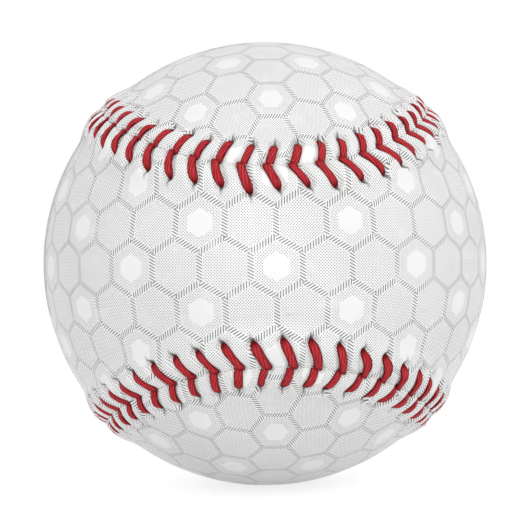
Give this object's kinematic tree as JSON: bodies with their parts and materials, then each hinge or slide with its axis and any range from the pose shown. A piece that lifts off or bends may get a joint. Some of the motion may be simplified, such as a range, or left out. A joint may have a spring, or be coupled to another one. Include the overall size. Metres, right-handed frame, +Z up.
{
  "type": "baseball",
  "caption": "Sewn leather baseball: cork and rubber centre, yarn windings, and two figure-8 cover panels joined by a raised seam of red stitches.",
  "frame": {"origin": "centre of the ball", "axes": "+Z up; the waist of the front panel faces -Y and its lobes lie at -X and +X; the waist of the back panel faces +Y and its lobes are at the top and the bottom"},
  "size_m": [0.0738, 0.0738, 0.0738],
  "materials": {
    "cork": "matte composition cork",
    "black_rubber": "matte moulded rubber",
    "red_rubber": "matte moulded rubber",
    "grey_wool": "wound wool yarn",
    "white_wool": "wound wool yarn",
    "finish_yarn": "fine wound yarn",
    "leather": "smooth white cover leather with a fine grey printed ground",
    "red_thread": "flattened waxed thread"
  },
  "bodies": {
    "root": {"cork_core": "cork", "inner_shell_upper": "black_rubber", "inner_shell_lower": "black_rubber", "shell_gasket": "red_rubber", "pill_cup_upper": "red_rubber", "pill_cup_lower": "red_rubber", "wool_winding_first": "grey_wool", "wool_winding_second": "white_wool", "wool_winding_third": "grey_wool", "finish_winding": "finish_yarn", "cover_panel_front": "leather", "cover_panel_back": "leather", "stitches_front": "red_thread", "stitches_back": "red_thread"}
  },
  "joints": []
}
